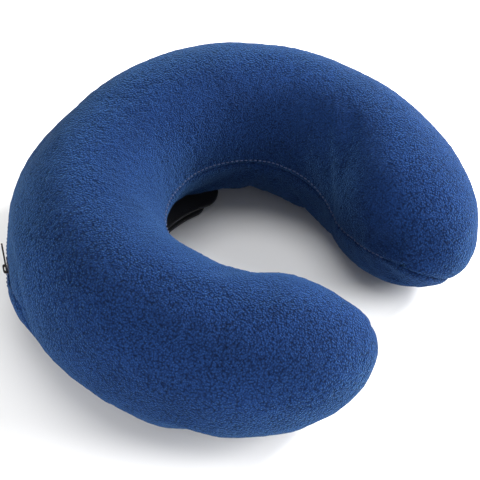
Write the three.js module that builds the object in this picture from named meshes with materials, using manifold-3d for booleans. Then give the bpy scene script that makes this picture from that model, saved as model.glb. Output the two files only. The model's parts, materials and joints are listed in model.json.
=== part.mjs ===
import * as THREE from 'three';
import { mergeVertices } from 'three/addons/utils/BufferGeometryUtils.js';
import Module from 'manifold-3d';

// U-shaped travel neck pillow. Millimetres, +Z up, the open side of the U towards -Y.
// A foam core in a knitted liner sits in a two-panel velour cover that closes with a zip round the back.
// A folded strap under the bend, held shut by a press stud, hangs the pillow on a suitcase handle.
//
// Places on the pillow are given by three values:
//   azimuth  degrees round the ring from the middle of the bend, positive towards +X
//   angle    degrees round the section: 0 outwards, 90 up, 180 towards the neck, 270 down
//   inset    depth below the outer face of the cover

// Ring and section of the padded body. Roundness is the power of each quarter of the section: 2 is an ellipse,
// and less is flatter. Under the neck side it is least at the bend, which is undercut there.
const RING_RADIUS = 99;
const ARM_END = 165;
const HALF_WIDTH = { bend: 51, tip: 45 };
const HEIGHT_ABOVE = { bend: 52, arm: 53, tip: 40.5 };
const SEAM_LEVEL = { bend: 49.5, tip: 44 };
const TIP_LENGTH = 52;
const TIP_POWER = 2.2;
const ROUNDNESS = { upperOuter: 1.96, upperInner: 2.1, lowerOuter: 2.12 };
const UNDERCUT = { bend: 1.3, arm: 1.9, from: 58, to: 92 };
const SOLE_DEPTH = 2;

// The bend stands on the folded strap
const BEND_CLEARANCE = 8.8;
const BEND_CLEARANCE_END = 50;
const BEND_CLEARANCE_RAMP = 16;

// Layers, as insets from the outer face
const COVER = { outer: 0, inner: 1.8 };
const TAPE = { outer: 2.2, inner: 2.8 };
const LINER = { outer: 4.4, inner: 5.4 };
const CORE = 5.8;
const LAYER_GAP = 0.3;
const THREAD = { outer: -0.7, inner: -0.3 };

// Seams, as section angles
const OUTER_SEAM = { arm: -50, tip: -15, ramp: 34 };
const INNER_SEAM = { bend: 174, tip: 188 };
const LINER_SEAM_HALF = 0.5;
const THREAD_HALF_ANGLE = 0.5;

// Zip
const ZIP_END = 51;
const TAPE_ANGLES = { edge: 1.5, slot: 5.6, hem: 16 };
const ZIP_STITCH_ANGLE = 8;
const COIL = { low: 1.0, high: 3.4, back: -1.9, face: -0.1 };
const COIL_END = 49.5;
const STOP_SPAN = { from: 49.75, to: 50.75 };
const SLIDER_PARKED = -47;

// Slider, bail and pull tab, in the slider's own frame
const SLIDER = {
  nose: 6,
  tail: 6,
  shoulder: 1,
  front: { halfNose: 4.3, halfTail: 4.1, thickness: 1, level: 0.35 },
  back: { halfNose: 3.8, halfTail: 3.5, thickness: 0.7, level: -4.1 },
  post: { from: 3, to: 5.2, half: 0.7, sink: 0.3 },
  flange: { to: 2, low: 3.75, high: 4.1, back: -1.4 },
};
const BAIL = { halfSpan: 3.3, height: 4.4, foot: 1.65, wire: 1, width: 1.8, shoulder: 0.8 };
const TAB = {
  pivot: 0.7,
  halfEye: 2.8,
  neck: 5.4,
  blade: 9,
  halfBlade: 2.1,
  end: 21,
  halfEnd: 2.5,
  level: 1.8,
  thickness: 1,
  hole: { near: 0.7, far: 4.3, half: 1.35 },
};

// Strap under the bend
const STRAP = { inner: 66, outer: 106, fold: -42, thickness: 1.5, corner: 15 };
const STRAP_END = { fixed: 42, free: 35 };
const FREE_PLY_LEVEL = 1.1;
const FIXED_PLY_LEVEL = 5.9;
const FOLD_GAP = 1;
const SNAP = { azimuth: 24, radius: 93, postHole: 2 };
const SNAP_PROFILES = {
  snap_cap: [[0, 0], [4.6, 0], [6, 0.5], [6, 0.8], [1.6, 0.8], [1.6, 2.8], [0, 2.8]],
  snap_socket: [[2.5, 2.9], [5.5, 2.9], [5.5, 4.1], [4.6, 4.7], [3, 4.7], [2.5, 4.2], [2.5, 2.9]],
  snap_stud: [[0, 3.1], [1.7, 3.1], [2.1, 3.5], [2.1, 5], [5, 5], [5, 5.6], [0, 5.6]],
  snap_rivet: [[0, 5.9], [1.6, 5.9], [1.6, 7.7], [4.5, 7.7], [4.5, 8.1], [3.6, 8.4], [0, 8.4]],
};
const ANCHOR = { azimuth: -14, radius: 86, side: 24, thread: 0.9 };

// Care label
const LABEL = { azimuth: 60, width: 20, drop: 24, ply: 0.5, gap: 0.4, top: 40, fold: 1.4, standOff: 0.6 };

// Facets round the section and along the ring
const SECTION_STEPS = { top: 11, bottom: 8 };
const STATION_STEP = { fine: 5, coarse: 10 };
const ARM_STEPS = { fine: 9, coarse: 8 };
const TIP_FRACTIONS = [0.35, 0.62, 0.82, 0.95];

const BLUE = 0x2c4a86;
const NAVY_THREAD = 0x14203f;
const CHARCOAL = 0x26272b;

const wasm = await Module();
wasm.setup();
const { Manifold } = wasm;
const rad = THREE.MathUtils.degToRad;
const { smoothstep } = THREE.MathUtils;

const material = (color, roughness, metalness = 0) =>
  new THREE.MeshStandardMaterial({ color, roughness, metalness });

const materials = {
  foam: material(0xe9e2cf, 0.95),
  knit: material(0xd9d9d6, 0.9),
  velour: material(BLUE, 0.95),
  thread: material(NAVY_THREAD, 0.8),
  tape: material(0x17181b, 0.85),
  coil: material(0x101114, 0.45),
  metal: material(0x2a2b2e, 0.35, 0.9),
  strap: material(CHARCOAL, 0.7),
  label: material(0xf2f2ee, 0.6),
};

const pillow = new THREE.Group();

function addPart(name, geometry, partMaterial, parent = pillow) {
  const mesh = new THREE.Mesh(geometry, partMaterial);
  mesh.name = name;
  parent.add(mesh);
  return mesh;
}

// ---- Form of the padded body ----

// A smooth curve through three values: the middle of the bend, halfway along an arm, and the tip.
function alongArm(values, azimuth) {
  const t = Math.min(Math.abs(azimuth) / ARM_END, 1);
  return values.bend * (1 - t) * (1 - 2 * t) + values.arm * 4 * t * (1 - t) + values.tip * t * (2 * t - 1);
}

// Straight along the zip, then an even change to the tip.
function beyondZip(atZip, atTip, azimuth) {
  const t = Math.max(Math.abs(azimuth) - ZIP_END, 0) / (ARM_END - ZIP_END);
  return atZip + (atTip - atZip) * t * t;
}

// Level with the zip round the bend, low on the outside of the arms, and up again to meet the inner seam at
// the points of the tips.
function outerSeamAngle({ azimuth, tip }) {
  const drop = smoothstep(Math.abs(azimuth), ZIP_END, ZIP_END + OUTER_SEAM.ramp);
  return OUTER_SEAM.arm * drop + (OUTER_SEAM.tip - OUTER_SEAM.arm) * tip ** 2;
}

function innerSeamAngle({ azimuth }) {
  return beyondZip(INNER_SEAM.bend, INNER_SEAM.tip, azimuth);
}

function soleHeight(azimuth) {
  const out = smoothstep(Math.abs(azimuth), BEND_CLEARANCE_END, BEND_CLEARANCE_END + BEND_CLEARANCE_RAMP);
  return BEND_CLEARANCE * (1 - out);
}

function roundness({ azimuth, up, out }) {
  if (up < 0 && out < 0) {
    const toArm = smoothstep(Math.abs(azimuth), UNDERCUT.from, UNDERCUT.to);
    return UNDERCUT.bend + (UNDERCUT.arm - UNDERCUT.bend) * toArm;
  }
  return ROUNDNESS[(up >= 0 ? 'upper' : 'lower') + (out >= 0 ? 'Outer' : 'Inner')];
}

function signedPower(value, power) {
  return Math.sign(value) * Math.abs(value) ** power;
}

// A station is a place along the ring: an azimuth up to where the tip starts to round off, then a fraction of
// the rounded tip. The tip of a deeper layer is shorter by its inset.
const TIP_START = ARM_END - THREE.MathUtils.radToDeg(TIP_LENGTH / RING_RADIUS);

function stationPoint(station, angle, inset) {
  const tipArc = THREE.MathUtils.radToDeg((TIP_LENGTH - inset) / RING_RADIUS);
  const azimuth = station.azimuth + Math.sign(station.azimuth) * station.tip * tipArc;
  const shrink = Math.sqrt(1 - station.tip ** TIP_POWER);
  const up = Math.sin(rad(angle));
  const out = Math.cos(rad(angle));
  const level = beyondZip(SEAM_LEVEL.bend, SEAM_LEVEL.tip, azimuth);
  const halfWidth = beyondZip(HALF_WIDTH.bend, HALF_WIDTH.tip, azimuth) - inset;
  const above = alongArm(HEIGHT_ABOVE, azimuth) - inset;
  const below = level + SOLE_DEPTH - inset;
  const power = 2 / roundness({ azimuth, up, out });
  const reach = halfWidth * shrink * signedPower(out, power);
  const rise = (up >= 0 ? above : below) * shrink * signedPower(up, power);
  const radius = RING_RADIUS + reach;
  return [
    radius * Math.sin(rad(azimuth)),
    radius * Math.cos(rad(azimuth)),
    Math.max(level + rise, soleHeight(azimuth) + inset),
  ];
}

function mirrorStations(oneSide) {
  const other = oneSide.map(({ azimuth, tip }) => ({ azimuth: -azimuth, tip }));
  return [...other.reverse(), { azimuth: 0, tip: 0 }, ...oneSide];
}

function armStations(from, steps) {
  const arm = [];
  for (let i = 1; i <= steps; i++) {
    arm.push({ azimuth: from + ((TIP_START - from) * i) / steps, tip: 0 });
  }
  for (const tip of TIP_FRACTIONS) {
    arm.push({ azimuth: TIP_START, tip });
  }
  return arm;
}

function bendStations(step, end) {
  const bend = [];
  for (let azimuth = step; azimuth < end; azimuth += step) {
    bend.push({ azimuth, tip: 0 });
  }
  return bend;
}

const zipEndStation = { azimuth: ZIP_END, tip: 0 };
const slotEndStation = { azimuth: ZIP_END + 1, tip: 0 };
const fineBend = [...bendStations(STATION_STEP.fine, ZIP_END - 1.5), zipEndStation];
const coarseBend = bendStations(STATION_STEP.coarse, ZIP_END);
const fineStations = mirrorStations([
  ...fineBend,
  slotEndStation,
  ...armStations(slotEndStation.azimuth, ARM_STEPS.fine),
]);
const coarseStations = mirrorStations([
  ...coarseBend,
  ...armStations(coarseBend.at(-1).azimuth, ARM_STEPS.coarse),
]);
const tapeStations = mirrorStations(fineBend);

// ---- Builders ----

class Shell {
  positions = [];
  triangles = [];

  point(xyz) {
    this.positions.push(...xyz);
    return this.positions.length / 3 - 1;
  }

  // Corners are given clockwise as seen from outside, because azimuth runs clockwise as seen from above.
  triangle(a, b, c) {
    this.triangles.push(a, c, b);
  }

  quad(a, b, c, d) {
    this.triangle(a, b, c);
    this.triangle(a, c, d);
  }

  geometry() {
    const geometry = new THREE.BufferGeometry();
    geometry.setAttribute('position', new THREE.Float32BufferAttribute(this.positions, 3));
    geometry.setIndex(this.triangles);
    geometry.computeVertexNormals();
    return geometry;
  }
}

// A sheet of cloth laid over part of the section: two skins joined along every edge. With tips it runs on to
// the points of both arms, where all columns meet. Every skin splits its quads along the same diagonal, so
// that neighbouring layers stay parallel.
function sheet({ stations, columns, angleAt, outer, inner, tips = false, raise = 0 }) {
  const shell = new Shell();
  const lift = ([x, y, z]) => [x, y, z + raise];
  const rows = stations.map((station) => {
    const row = { top: [], under: [] };
    for (let j = 0; j <= columns; j++) {
      const angle = angleAt(station, j);
      row.top.push(shell.point(lift(stationPoint(station, angle, outer))));
      row.under.push(shell.point(lift(stationPoint(station, angle, inner))));
    }
    return row;
  });
  const last = columns;
  for (let i = 1; i < rows.length; i++) {
    const a = rows[i - 1];
    const b = rows[i];
    for (let j = 0; j < columns; j++) {
      shell.quad(a.top[j], b.top[j], b.top[j + 1], a.top[j + 1]);
      shell.quad(a.under[j], a.under[j + 1], b.under[j + 1], b.under[j]);
    }
    shell.quad(a.under[0], b.under[0], b.top[0], a.top[0]);
    shell.quad(a.top[last], b.top[last], b.under[last], a.under[last]);
  }
  for (const [row, flip] of [[rows[0], true], [rows.at(-1), false]]) {
    const face = (...corners) => shell.quad(...(flip ? corners.reverse() : corners));
    if (tips) {
      closeSheetTip(shell, row, last, flip, lift, outer, inner);
    } else {
      for (let j = 0; j < columns; j++) {
        face(row.top[j], row.under[j], row.under[j + 1], row.top[j + 1]);
      }
    }
  }
  return shell.geometry();
}

function closeSheetTip(shell, row, last, flip, lift, outer, inner) {
  const azimuth = flip ? -TIP_START : TIP_START;
  const top = shell.point(lift(stationPoint({ azimuth, tip: 1 }, 0, outer)));
  const under = shell.point(lift(stationPoint({ azimuth, tip: 1 }, 0, inner)));
  const triangle = (a, b, c) => (flip ? shell.triangle(a, c, b) : shell.triangle(a, b, c));
  for (let j = 0; j < last; j++) {
    triangle(row.top[j], top, row.top[j + 1]);
    triangle(row.under[j + 1], under, row.under[j]);
  }
  triangle(row.under[0], under, row.top[0]);
  triangle(under, top, row.top[0]);
  triangle(row.top[last], top, row.under[last]);
  triangle(top, under, row.under[last]);
}

// A solid padded body that fills the section.
function paddedBody(stations, anglesAt, inset) {
  const shell = new Shell();
  const rows = stations.map((station) =>
    anglesAt(station).map((angle) => shell.point(stationPoint(station, angle, inset))));
  const count = rows[0].length;
  for (let i = 1; i < rows.length; i++) {
    for (let j = 0; j < count; j++) {
      const k = (j + 1) % count;
      shell.quad(rows[i - 1][j], rows[i][j], rows[i][k], rows[i - 1][k]);
    }
  }
  const ends = [[rows[0], -TIP_START], [rows.at(-1), TIP_START]];
  for (const [row, azimuth] of ends) {
    const point = shell.point(stationPoint({ azimuth, tip: 1 }, 0, inset));
    for (let j = 0; j < count; j++) {
      const k = (j + 1) % count;
      const edge = azimuth < 0 ? [row[k], row[j]] : [row[j], row[k]];
      shell.triangle(edge[0], point, edge[1]);
    }
  }
  return shell.geometry();
}

// A bar of rectangular section that follows the zip. Heights are above the zip's line, and depths are from
// the outer face of the cover.
const ZIP_RADIUS = RING_RADIUS + HALF_WIDTH.bend;

function trackBar({ low, high, back, face, from, to, steps }) {
  const shell = new Shell();
  const corners = [[back, low], [face, low], [face, high], [back, high]];
  const rows = [];
  for (let i = 0; i <= steps; i++) {
    const azimuth = rad(from + ((to - from) * i) / steps);
    rows.push(corners.map(([depth, height]) => {
      const radius = ZIP_RADIUS + depth;
      return shell.point([radius * Math.sin(azimuth), radius * Math.cos(azimuth), SEAM_LEVEL.bend + height]);
    }));
  }
  for (let i = 1; i <= steps; i++) {
    for (let j = 0; j < 4; j++) {
      const k = (j + 1) % 4;
      shell.quad(rows[i - 1][j], rows[i][j], rows[i][k], rows[i - 1][k]);
    }
  }
  const [first, last] = [rows[0], rows.at(-1)];
  shell.quad(first[0], first[1], first[2], first[3]);
  shell.quad(last[3], last[2], last[1], last[0]);
  return shell.geometry();
}

function toManifold(geometry) {
  const bare = geometry.clone();
  bare.deleteAttribute('normal');
  bare.deleteAttribute('uv');
  const merged = mergeVertices(bare, 1e-4);
  return new Manifold(new wasm.Mesh({
    numProp: 3,
    vertProperties: Float32Array.from(merged.attributes.position.array),
    triVerts: Uint32Array.from(merged.index.array),
  }));
}

function fromManifold(solid) {
  const { vertProperties, triVerts } = solid.getMesh();
  const geometry = new THREE.BufferGeometry();
  geometry.setAttribute('position', new THREE.Float32BufferAttribute(vertProperties, 3));
  geometry.setIndex(Array.from(triVerts));
  geometry.computeVertexNormals();
  return geometry;
}

function box(x0, x1, y0, y1, z0, z1) {
  const geometry = new THREE.BoxGeometry(x1 - x0, y1 - y0, z1 - z0);
  return geometry.translate((x0 + x1) / 2, (y0 + y1) / 2, (z0 + z1) / 2);
}

function extrude(shape, depth, curveSegments = 6) {
  return new THREE.ExtrudeGeometry(shape, { depth, curveSegments, bevelEnabled: false });
}

function unite(...geometries) {
  return fromManifold(geometries.map(toManifold).reduce((whole, next) => whole.add(next)));
}

function turned(profile, segments = 12) {
  const points = profile.map(([radius, height]) => new THREE.Vector2(radius, height));
  return new THREE.LatheGeometry(points, segments).rotateX(Math.PI / 2);
}

// ---- Foam, liner and cover ----

function spread(from, to, steps) {
  return Array.from({ length: steps + 1 }, (_, j) => from + ((to - from) * j) / steps);
}

// Both panels stop short of the zip's line. The column next to the zip is as wide as the tape's hem.
function slotAngle({ azimuth }) {
  return Math.abs(azimuth) <= ZIP_END ? TAPE_ANGLES.slot : 0;
}

const HEM_WIDTH = TAPE_ANGLES.hem - TAPE_ANGLES.slot;

function topPanelAngles(station) {
  const start = outerSeamAngle(station) + slotAngle(station);
  return [start, ...spread(start + HEM_WIDTH, innerSeamAngle(station), SECTION_STEPS.top - 1)];
}

function bottomPanelAngles(station) {
  const end = 360 + outerSeamAngle(station) - slotAngle(station);
  return [...spread(innerSeamAngle(station), end - HEM_WIDTH, SECTION_STEPS.bottom - 1), end];
}

// The liner wraps the whole section and meets itself along the outside.
function linerAngles(station) {
  const seam = outerSeamAngle(station);
  const top = topPanelAngles(station).slice(1);
  const bottom = bottomPanelAngles(station).slice(1, -1);
  return [seam + LINER_SEAM_HALF, ...top, ...bottom, 360 + seam - LINER_SEAM_HALF];
}

addPart('foam_core', paddedBody(coarseStations, linerAngles, CORE), materials.foam);

addPart('inner_liner', sheet({
  stations: coarseStations,
  columns: SECTION_STEPS.top + SECTION_STEPS.bottom,
  angleAt: (station, j) => linerAngles(station)[j],
  ...LINER,
  tips: true,
}), materials.knit);

addPart('cover_top_panel', sheet({
  stations: fineStations,
  columns: SECTION_STEPS.top,
  angleAt: (station, j) => topPanelAngles(station)[j],
  ...COVER,
  tips: true,
  raise: LAYER_GAP,
}), materials.velour);

addPart('cover_bottom_panel', sheet({
  stations: fineStations,
  columns: SECTION_STEPS.bottom,
  angleAt: (station, j) => bottomPanelAngles(station)[j],
  ...COVER,
  tips: true,
}), materials.velour);

// ---- Stitching ----

function threadLine(stations, centreAngle) {
  return sheet({
    stations,
    columns: 1,
    angleAt: (station, j) => centreAngle(station) + (2 * j - 1) * THREAD_HALF_ANGLE,
    ...THREAD,
  });
}

const rightArm = fineStations.filter(({ azimuth }) => azimuth > ZIP_END);
const leftArm = fineStations.filter(({ azimuth }) => azimuth < -ZIP_END);
addPart('inner_seam_thread', threadLine(fineStations, innerSeamAngle), materials.thread);
addPart('outer_seam_thread_right', threadLine(rightArm, outerSeamAngle), materials.thread);
addPart('outer_seam_thread_left', threadLine(leftArm, outerSeamAngle), materials.thread);
addPart('zip_stitch_upper', threadLine(tapeStations, () => ZIP_STITCH_ANGLE), materials.thread);
addPart('zip_stitch_lower', threadLine(tapeStations, () => -ZIP_STITCH_ANGLE), materials.thread);

// ---- Zip: tapes, coils and end stops ----

for (const [side, sign] of [['upper', 1], ['lower', -1]]) {
  const angles = [TAPE_ANGLES.edge, TAPE_ANGLES.slot, TAPE_ANGLES.hem].map((angle) => sign * angle);
  angles.sort((a, b) => a - b);
  addPart(`zip_tape_${side}`, sheet({
    stations: tapeStations,
    columns: 2,
    angleAt: (station, j) => angles[j],
    ...TAPE,
  }), materials.tape);
  const heights = [sign * COIL.low, sign * COIL.high].sort((a, b) => a - b);
  const row = { low: heights[0], high: heights[1], back: COIL.back, face: COIL.face };
  addPart(`zip_coil_${side}`, trackBar({ ...row, from: -COIL_END, to: COIL_END, steps: 22 }), materials.coil);
  addPart(`zip_top_stop_${side}`,
    trackBar({ ...row, from: -STOP_SPAN.to, to: -STOP_SPAN.from, steps: 1 }), materials.metal);
}
const acrossBothCoils = { low: -COIL.high, high: COIL.high, back: COIL.back, face: COIL.face };
addPart('zip_bottom_stop',
  trackBar({ ...acrossBothCoils, from: STOP_SPAN.from, to: STOP_SPAN.to, steps: 1 }), materials.metal);

// ---- Slider, bail and pull tab, in the slider's own frame: x along the zip towards its closed end, y up,
// z away from the pillow, with z = 0 at the cover's outer face ----

const slider = new THREE.Group();
slider.matrixAutoUpdate = false;
slider.matrix.makeBasis(
  new THREE.Vector3(-Math.cos(rad(SLIDER_PARKED)), Math.sin(rad(SLIDER_PARKED)), 0),
  new THREE.Vector3(0, 0, 1),
  new THREE.Vector3(Math.sin(rad(SLIDER_PARKED)), Math.cos(rad(SLIDER_PARKED)), 0),
);
slider.matrix.setPosition(
  ZIP_RADIUS * Math.sin(rad(SLIDER_PARKED)),
  ZIP_RADIUS * Math.cos(rad(SLIDER_PARKED)),
  SEAM_LEVEL.bend,
);
pillow.add(slider);

// Front and back wings, from the wide tail to the rounded nose.
function wing({ halfNose, halfTail, thickness, level }) {
  const { nose, tail, shoulder } = SLIDER;
  const waist = (nose + shoulder) / 2;
  const shape = new THREE.Shape();
  shape.moveTo(-tail, -halfTail);
  shape.lineTo(shoulder, -halfTail);
  shape.quadraticCurveTo(waist, -halfNose, nose, -halfNose);
  shape.lineTo(nose, halfNose);
  shape.quadraticCurveTo(waist, halfNose, shoulder, halfTail);
  shape.lineTo(-tail, halfTail);
  shape.closePath();
  return extrude(shape, thickness, 3).translate(0, 0, level);
}

// The flanges guide the coils from above and below, and the post between the wings parts them.
function sliderBody() {
  const { tail, front, back, post, flange } = SLIDER;
  return unite(
    wing(front),
    wing(back),
    box(post.from, post.to, -post.half, post.half, back.level + post.sink, front.level + post.sink),
    box(-tail, flange.to, flange.low, flange.high, flange.back, front.level + post.sink),
    box(-tail, flange.to, -flange.high, -flange.low, flange.back, front.level + post.sink),
  );
}

addPart('slider_body', sliderBody(), materials.metal, slider);

// An arch with rounded shoulders, seen from above the slider.
function arch(halfSpan, height, foot, shoulder) {
  const path = new THREE.Path();
  path.moveTo(-halfSpan, foot);
  path.lineTo(-halfSpan, height - shoulder);
  path.quadraticCurveTo(-halfSpan, height, -halfSpan + shoulder * 1.4, height);
  path.lineTo(halfSpan - shoulder * 1.4, height);
  path.quadraticCurveTo(halfSpan, height, halfSpan, height - shoulder);
  path.lineTo(halfSpan, foot);
  return path.getPoints(3);
}

function sliderBail() {
  const { halfSpan, height, foot, wire, width, shoulder } = BAIL;
  const outside = arch(halfSpan, height, foot, shoulder + wire / 2);
  const inside = arch(halfSpan - wire, height - wire, foot, shoulder);
  const shape = new THREE.Shape([...outside, ...inside.reverse()]);
  return extrude(shape, width).translate(0, 0, -width / 2).rotateX(Math.PI / 2);
}

addPart('slider_bail', sliderBail(), materials.metal, slider);

// The eye goes round the bail, and the blade lies back along the zip.
function pullTab() {
  const { pivot, halfEye, neck, blade, halfBlade, end, halfEnd, level, thickness, hole } = TAB;
  const shape = new THREE.Shape();
  shape.moveTo(pivot, -halfEye);
  shape.lineTo(pivot, halfEye);
  shape.lineTo(-neck, halfEye);
  shape.quadraticCurveTo((-neck - blade) / 2, halfBlade, -blade, halfBlade);
  shape.lineTo(-end + halfEnd, halfEnd);
  shape.absarc(-end + halfEnd, 0, halfEnd, Math.PI / 2, (3 * Math.PI) / 2, false);
  shape.lineTo(-blade, -halfBlade);
  shape.quadraticCurveTo((-neck - blade) / 2, -halfBlade, -neck, -halfEye);
  shape.closePath();
  const eye = new THREE.Path();
  eye.moveTo(-hole.near, -hole.half);
  eye.lineTo(-hole.far, -hole.half);
  eye.lineTo(-hole.far, hole.half);
  eye.lineTo(-hole.near, hole.half);
  eye.closePath();
  shape.holes.push(eye);
  return extrude(shape, thickness, 4).translate(0, 0, level);
}

addPart('pull_tab', pullTab(), materials.metal, slider);

// ---- Strap under the bend ----

function onRing(azimuth, radius) {
  return [radius * Math.sin(rad(azimuth)), radius * Math.cos(rad(azimuth))];
}

// Compass angle for Shape.absarc, which counts from +X the other way round.
function arcAngle(azimuth) {
  return Math.PI / 2 - rad(azimuth);
}

function strapPly(end) {
  const turn = (radius) => THREE.MathUtils.radToDeg(STRAP.corner / radius);
  const start = STRAP.fold + THREE.MathUtils.radToDeg(FOLD_GAP / STRAP.inner);
  const shape = new THREE.Shape();
  shape.moveTo(...onRing(start, STRAP.inner));
  shape.lineTo(...onRing(start, STRAP.outer));
  shape.absarc(0, 0, STRAP.outer, arcAngle(start), arcAngle(end - turn(STRAP.outer)), true);
  shape.quadraticCurveTo(...onRing(end, STRAP.outer), ...onRing(end, STRAP.outer - STRAP.corner));
  shape.lineTo(...onRing(end, STRAP.inner + STRAP.corner));
  shape.quadraticCurveTo(...onRing(end, STRAP.inner), ...onRing(end - turn(STRAP.inner), STRAP.inner));
  shape.absarc(0, 0, STRAP.inner, arcAngle(end - turn(STRAP.inner)), arcAngle(start), false);
  const hole = new THREE.Path();
  hole.absarc(...onRing(SNAP.azimuth, SNAP.radius), SNAP.postHole, 0, 2 * Math.PI, false);
  shape.holes.push(hole);
  return extrude(shape, STRAP.thickness, 8);
}

addPart('strap_fixed_ply', strapPly(STRAP_END.fixed).translate(0, 0, FIXED_PLY_LEVEL), materials.strap);
addPart('strap_free_ply', strapPly(STRAP_END.free).translate(0, 0, FREE_PLY_LEVEL), materials.strap);

// Press stud, as radius and height from the floor up: cap with its post, socket, stud, rivet.
const snapPlace = new THREE.Group();
snapPlace.position.set(...onRing(SNAP.azimuth, SNAP.radius), 0);
pillow.add(snapPlace);
for (const [name, profile] of Object.entries(SNAP_PROFILES)) {
  addPart(name, turned(profile), materials.metal, snapPlace);
}

// Square of stitching that holds the strap's upper ply to the cover.
const anchorPlace = new THREE.Group();
const anchorLevel = FIXED_PLY_LEVEL - LAYER_GAP - ANCHOR.thread;
anchorPlace.position.set(...onRing(ANCHOR.azimuth, ANCHOR.radius), anchorLevel);
anchorPlace.rotation.z = -rad(ANCHOR.azimuth);
pillow.add(anchorPlace);

function stitchBar(length, turn) {
  const half = ANCHOR.thread / 2;
  return box(-length / 2, length / 2, -half, half, 0, ANCHOR.thread).rotateZ(turn);
}

const halfSide = ANCHOR.side / 2;
const sideLength = ANCHOR.side + ANCHOR.thread;
addPart('anchor_stitch', unite(
  stitchBar(sideLength, 0).translate(0, halfSide, 0),
  stitchBar(sideLength, 0).translate(0, -halfSide, 0),
  stitchBar(sideLength, Math.PI / 2).translate(halfSide, 0, 0),
  stitchBar(sideLength, Math.PI / 2).translate(-halfSide, 0, 0),
  stitchBar(ANCHOR.side * Math.SQRT2, Math.PI / 4),
  stitchBar(ANCHOR.side * Math.SQRT2, -Math.PI / 4),
), materials.thread, anchorPlace);

// ---- Blank care label: a satin loop hanging from the outer seam ----

function labelLoop() {
  const { gap, ply, top, drop, fold, width } = LABEL;
  const bottom = top - drop;
  const near = gap;
  const far = gap + 3 * ply;
  const shape = new THREE.Shape();
  shape.moveTo(near, top);
  shape.lineTo(near, bottom);
  shape.quadraticCurveTo((near + far) / 2, bottom - fold, far, bottom);
  shape.lineTo(far, top);
  shape.lineTo(far - ply, top);
  shape.lineTo(far - ply, bottom);
  shape.lineTo(near + ply, bottom);
  shape.lineTo(near + ply, top);
  shape.closePath();
  return extrude(shape, width, 3).translate(0, 0, -width / 2).rotateX(Math.PI / 2);
}

const labelPlace = new THREE.Group();
labelPlace.position.set(...onRing(LABEL.azimuth, ZIP_RADIUS + LABEL.standOff), 0);
labelPlace.rotation.z = arcAngle(LABEL.azimuth);
pillow.add(labelPlace);
addPart('care_label', labelLoop(), materials.label, labelPlace);

// ---- Origin: the middle of the footprint, on the surface the pillow rests on ----

pillow.updateMatrixWorld(true);
const extent = new THREE.Box3().setFromObject(pillow);
const middle = extent.getCenter(new THREE.Vector3());
pillow.position.set(-middle.x, -middle.y, -extent.min.z);
pillow.updateMatrixWorld(true);

export default pillow;
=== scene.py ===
import json
import math

import bmesh
import bpy
import numpy as np
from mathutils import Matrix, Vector

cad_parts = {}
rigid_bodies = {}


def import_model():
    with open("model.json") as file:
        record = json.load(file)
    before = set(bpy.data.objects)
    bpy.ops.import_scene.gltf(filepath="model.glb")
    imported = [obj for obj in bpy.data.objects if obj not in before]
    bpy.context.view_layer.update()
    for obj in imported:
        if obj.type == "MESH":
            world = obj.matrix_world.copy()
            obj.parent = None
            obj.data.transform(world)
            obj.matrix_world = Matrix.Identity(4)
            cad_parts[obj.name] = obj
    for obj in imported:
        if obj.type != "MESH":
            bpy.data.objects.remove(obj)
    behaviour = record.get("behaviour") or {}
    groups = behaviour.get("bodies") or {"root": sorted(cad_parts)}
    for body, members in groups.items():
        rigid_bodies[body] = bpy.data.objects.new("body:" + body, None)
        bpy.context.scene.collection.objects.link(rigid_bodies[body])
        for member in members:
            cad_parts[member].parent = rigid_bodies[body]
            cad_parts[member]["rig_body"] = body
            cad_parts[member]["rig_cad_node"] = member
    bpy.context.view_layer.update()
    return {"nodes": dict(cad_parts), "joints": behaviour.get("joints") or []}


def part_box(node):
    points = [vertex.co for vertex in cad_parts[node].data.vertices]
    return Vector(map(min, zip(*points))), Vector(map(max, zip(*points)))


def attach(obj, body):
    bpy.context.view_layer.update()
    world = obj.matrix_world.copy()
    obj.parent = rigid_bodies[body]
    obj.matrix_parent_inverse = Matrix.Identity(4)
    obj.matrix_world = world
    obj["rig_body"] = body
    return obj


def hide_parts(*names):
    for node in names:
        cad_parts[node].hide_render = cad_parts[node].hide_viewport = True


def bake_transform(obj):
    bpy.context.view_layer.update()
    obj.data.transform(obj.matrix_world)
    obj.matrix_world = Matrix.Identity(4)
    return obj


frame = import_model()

# A U-shaped travel neck pillow: velour cover over a foam core, a zip round the back of the bend, and a folded
# snap strap under it. Sizes are in millimetres until a mesh is made, and angles are in degrees.
#
# Places on the pillow are given by three values, as in the CAD:
#   azimuth  round the ring from the middle of the bend, positive towards +X
#   angle    round the section: 0 outwards, 90 up, 180 towards the neck, 270 down
#   inset    depth below the outer face of the cover

MM = 0.001
JOINTS = {joint["name"]: joint for joint in frame["joints"]}
AXIS = np.array(JOINTS["zip_travel"]["pos_m"]) / MM
SEED = 7

# Ring and section of the padded body
RING_RADIUS = 99.0
ARM_END = 165.0
HALF_WIDTH = (51.0, 45.0)
HEIGHT_ABOVE = (52.0, 53.0, 40.5)
SEAM_LEVEL = (AXIS[2], 44.0)
TIP_LENGTH = 52.0
TIP_POWER = 2.2
ROUNDNESS = {"upper_outer": 1.96, "upper_inner": 2.1, "lower_outer": 2.12}
UNDERCUT = {"bend": 1.3, "arm": 1.9, "from": 58.0, "to": 92.0}
SOLE_DEPTH = 2.0
TIP_START = ARM_END - math.degrees(TIP_LENGTH / RING_RADIUS)

# The bend stands on the folded strap
BEND_CLEARANCE = 8.8
BEND_CLEARANCE_SPAN = (50.0, 66.0)

# Layers, as insets
CLOTH = 1.8
TAPE = (2.2, 2.8)
LINER = (4.4, 5.4)
CORE = 5.8

# Seams
OUTER_SEAM = {"arm": -50.0, "tip": -15.0, "ramp": 34.0}
INNER_SEAM = (174.0, 188.0)

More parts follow.
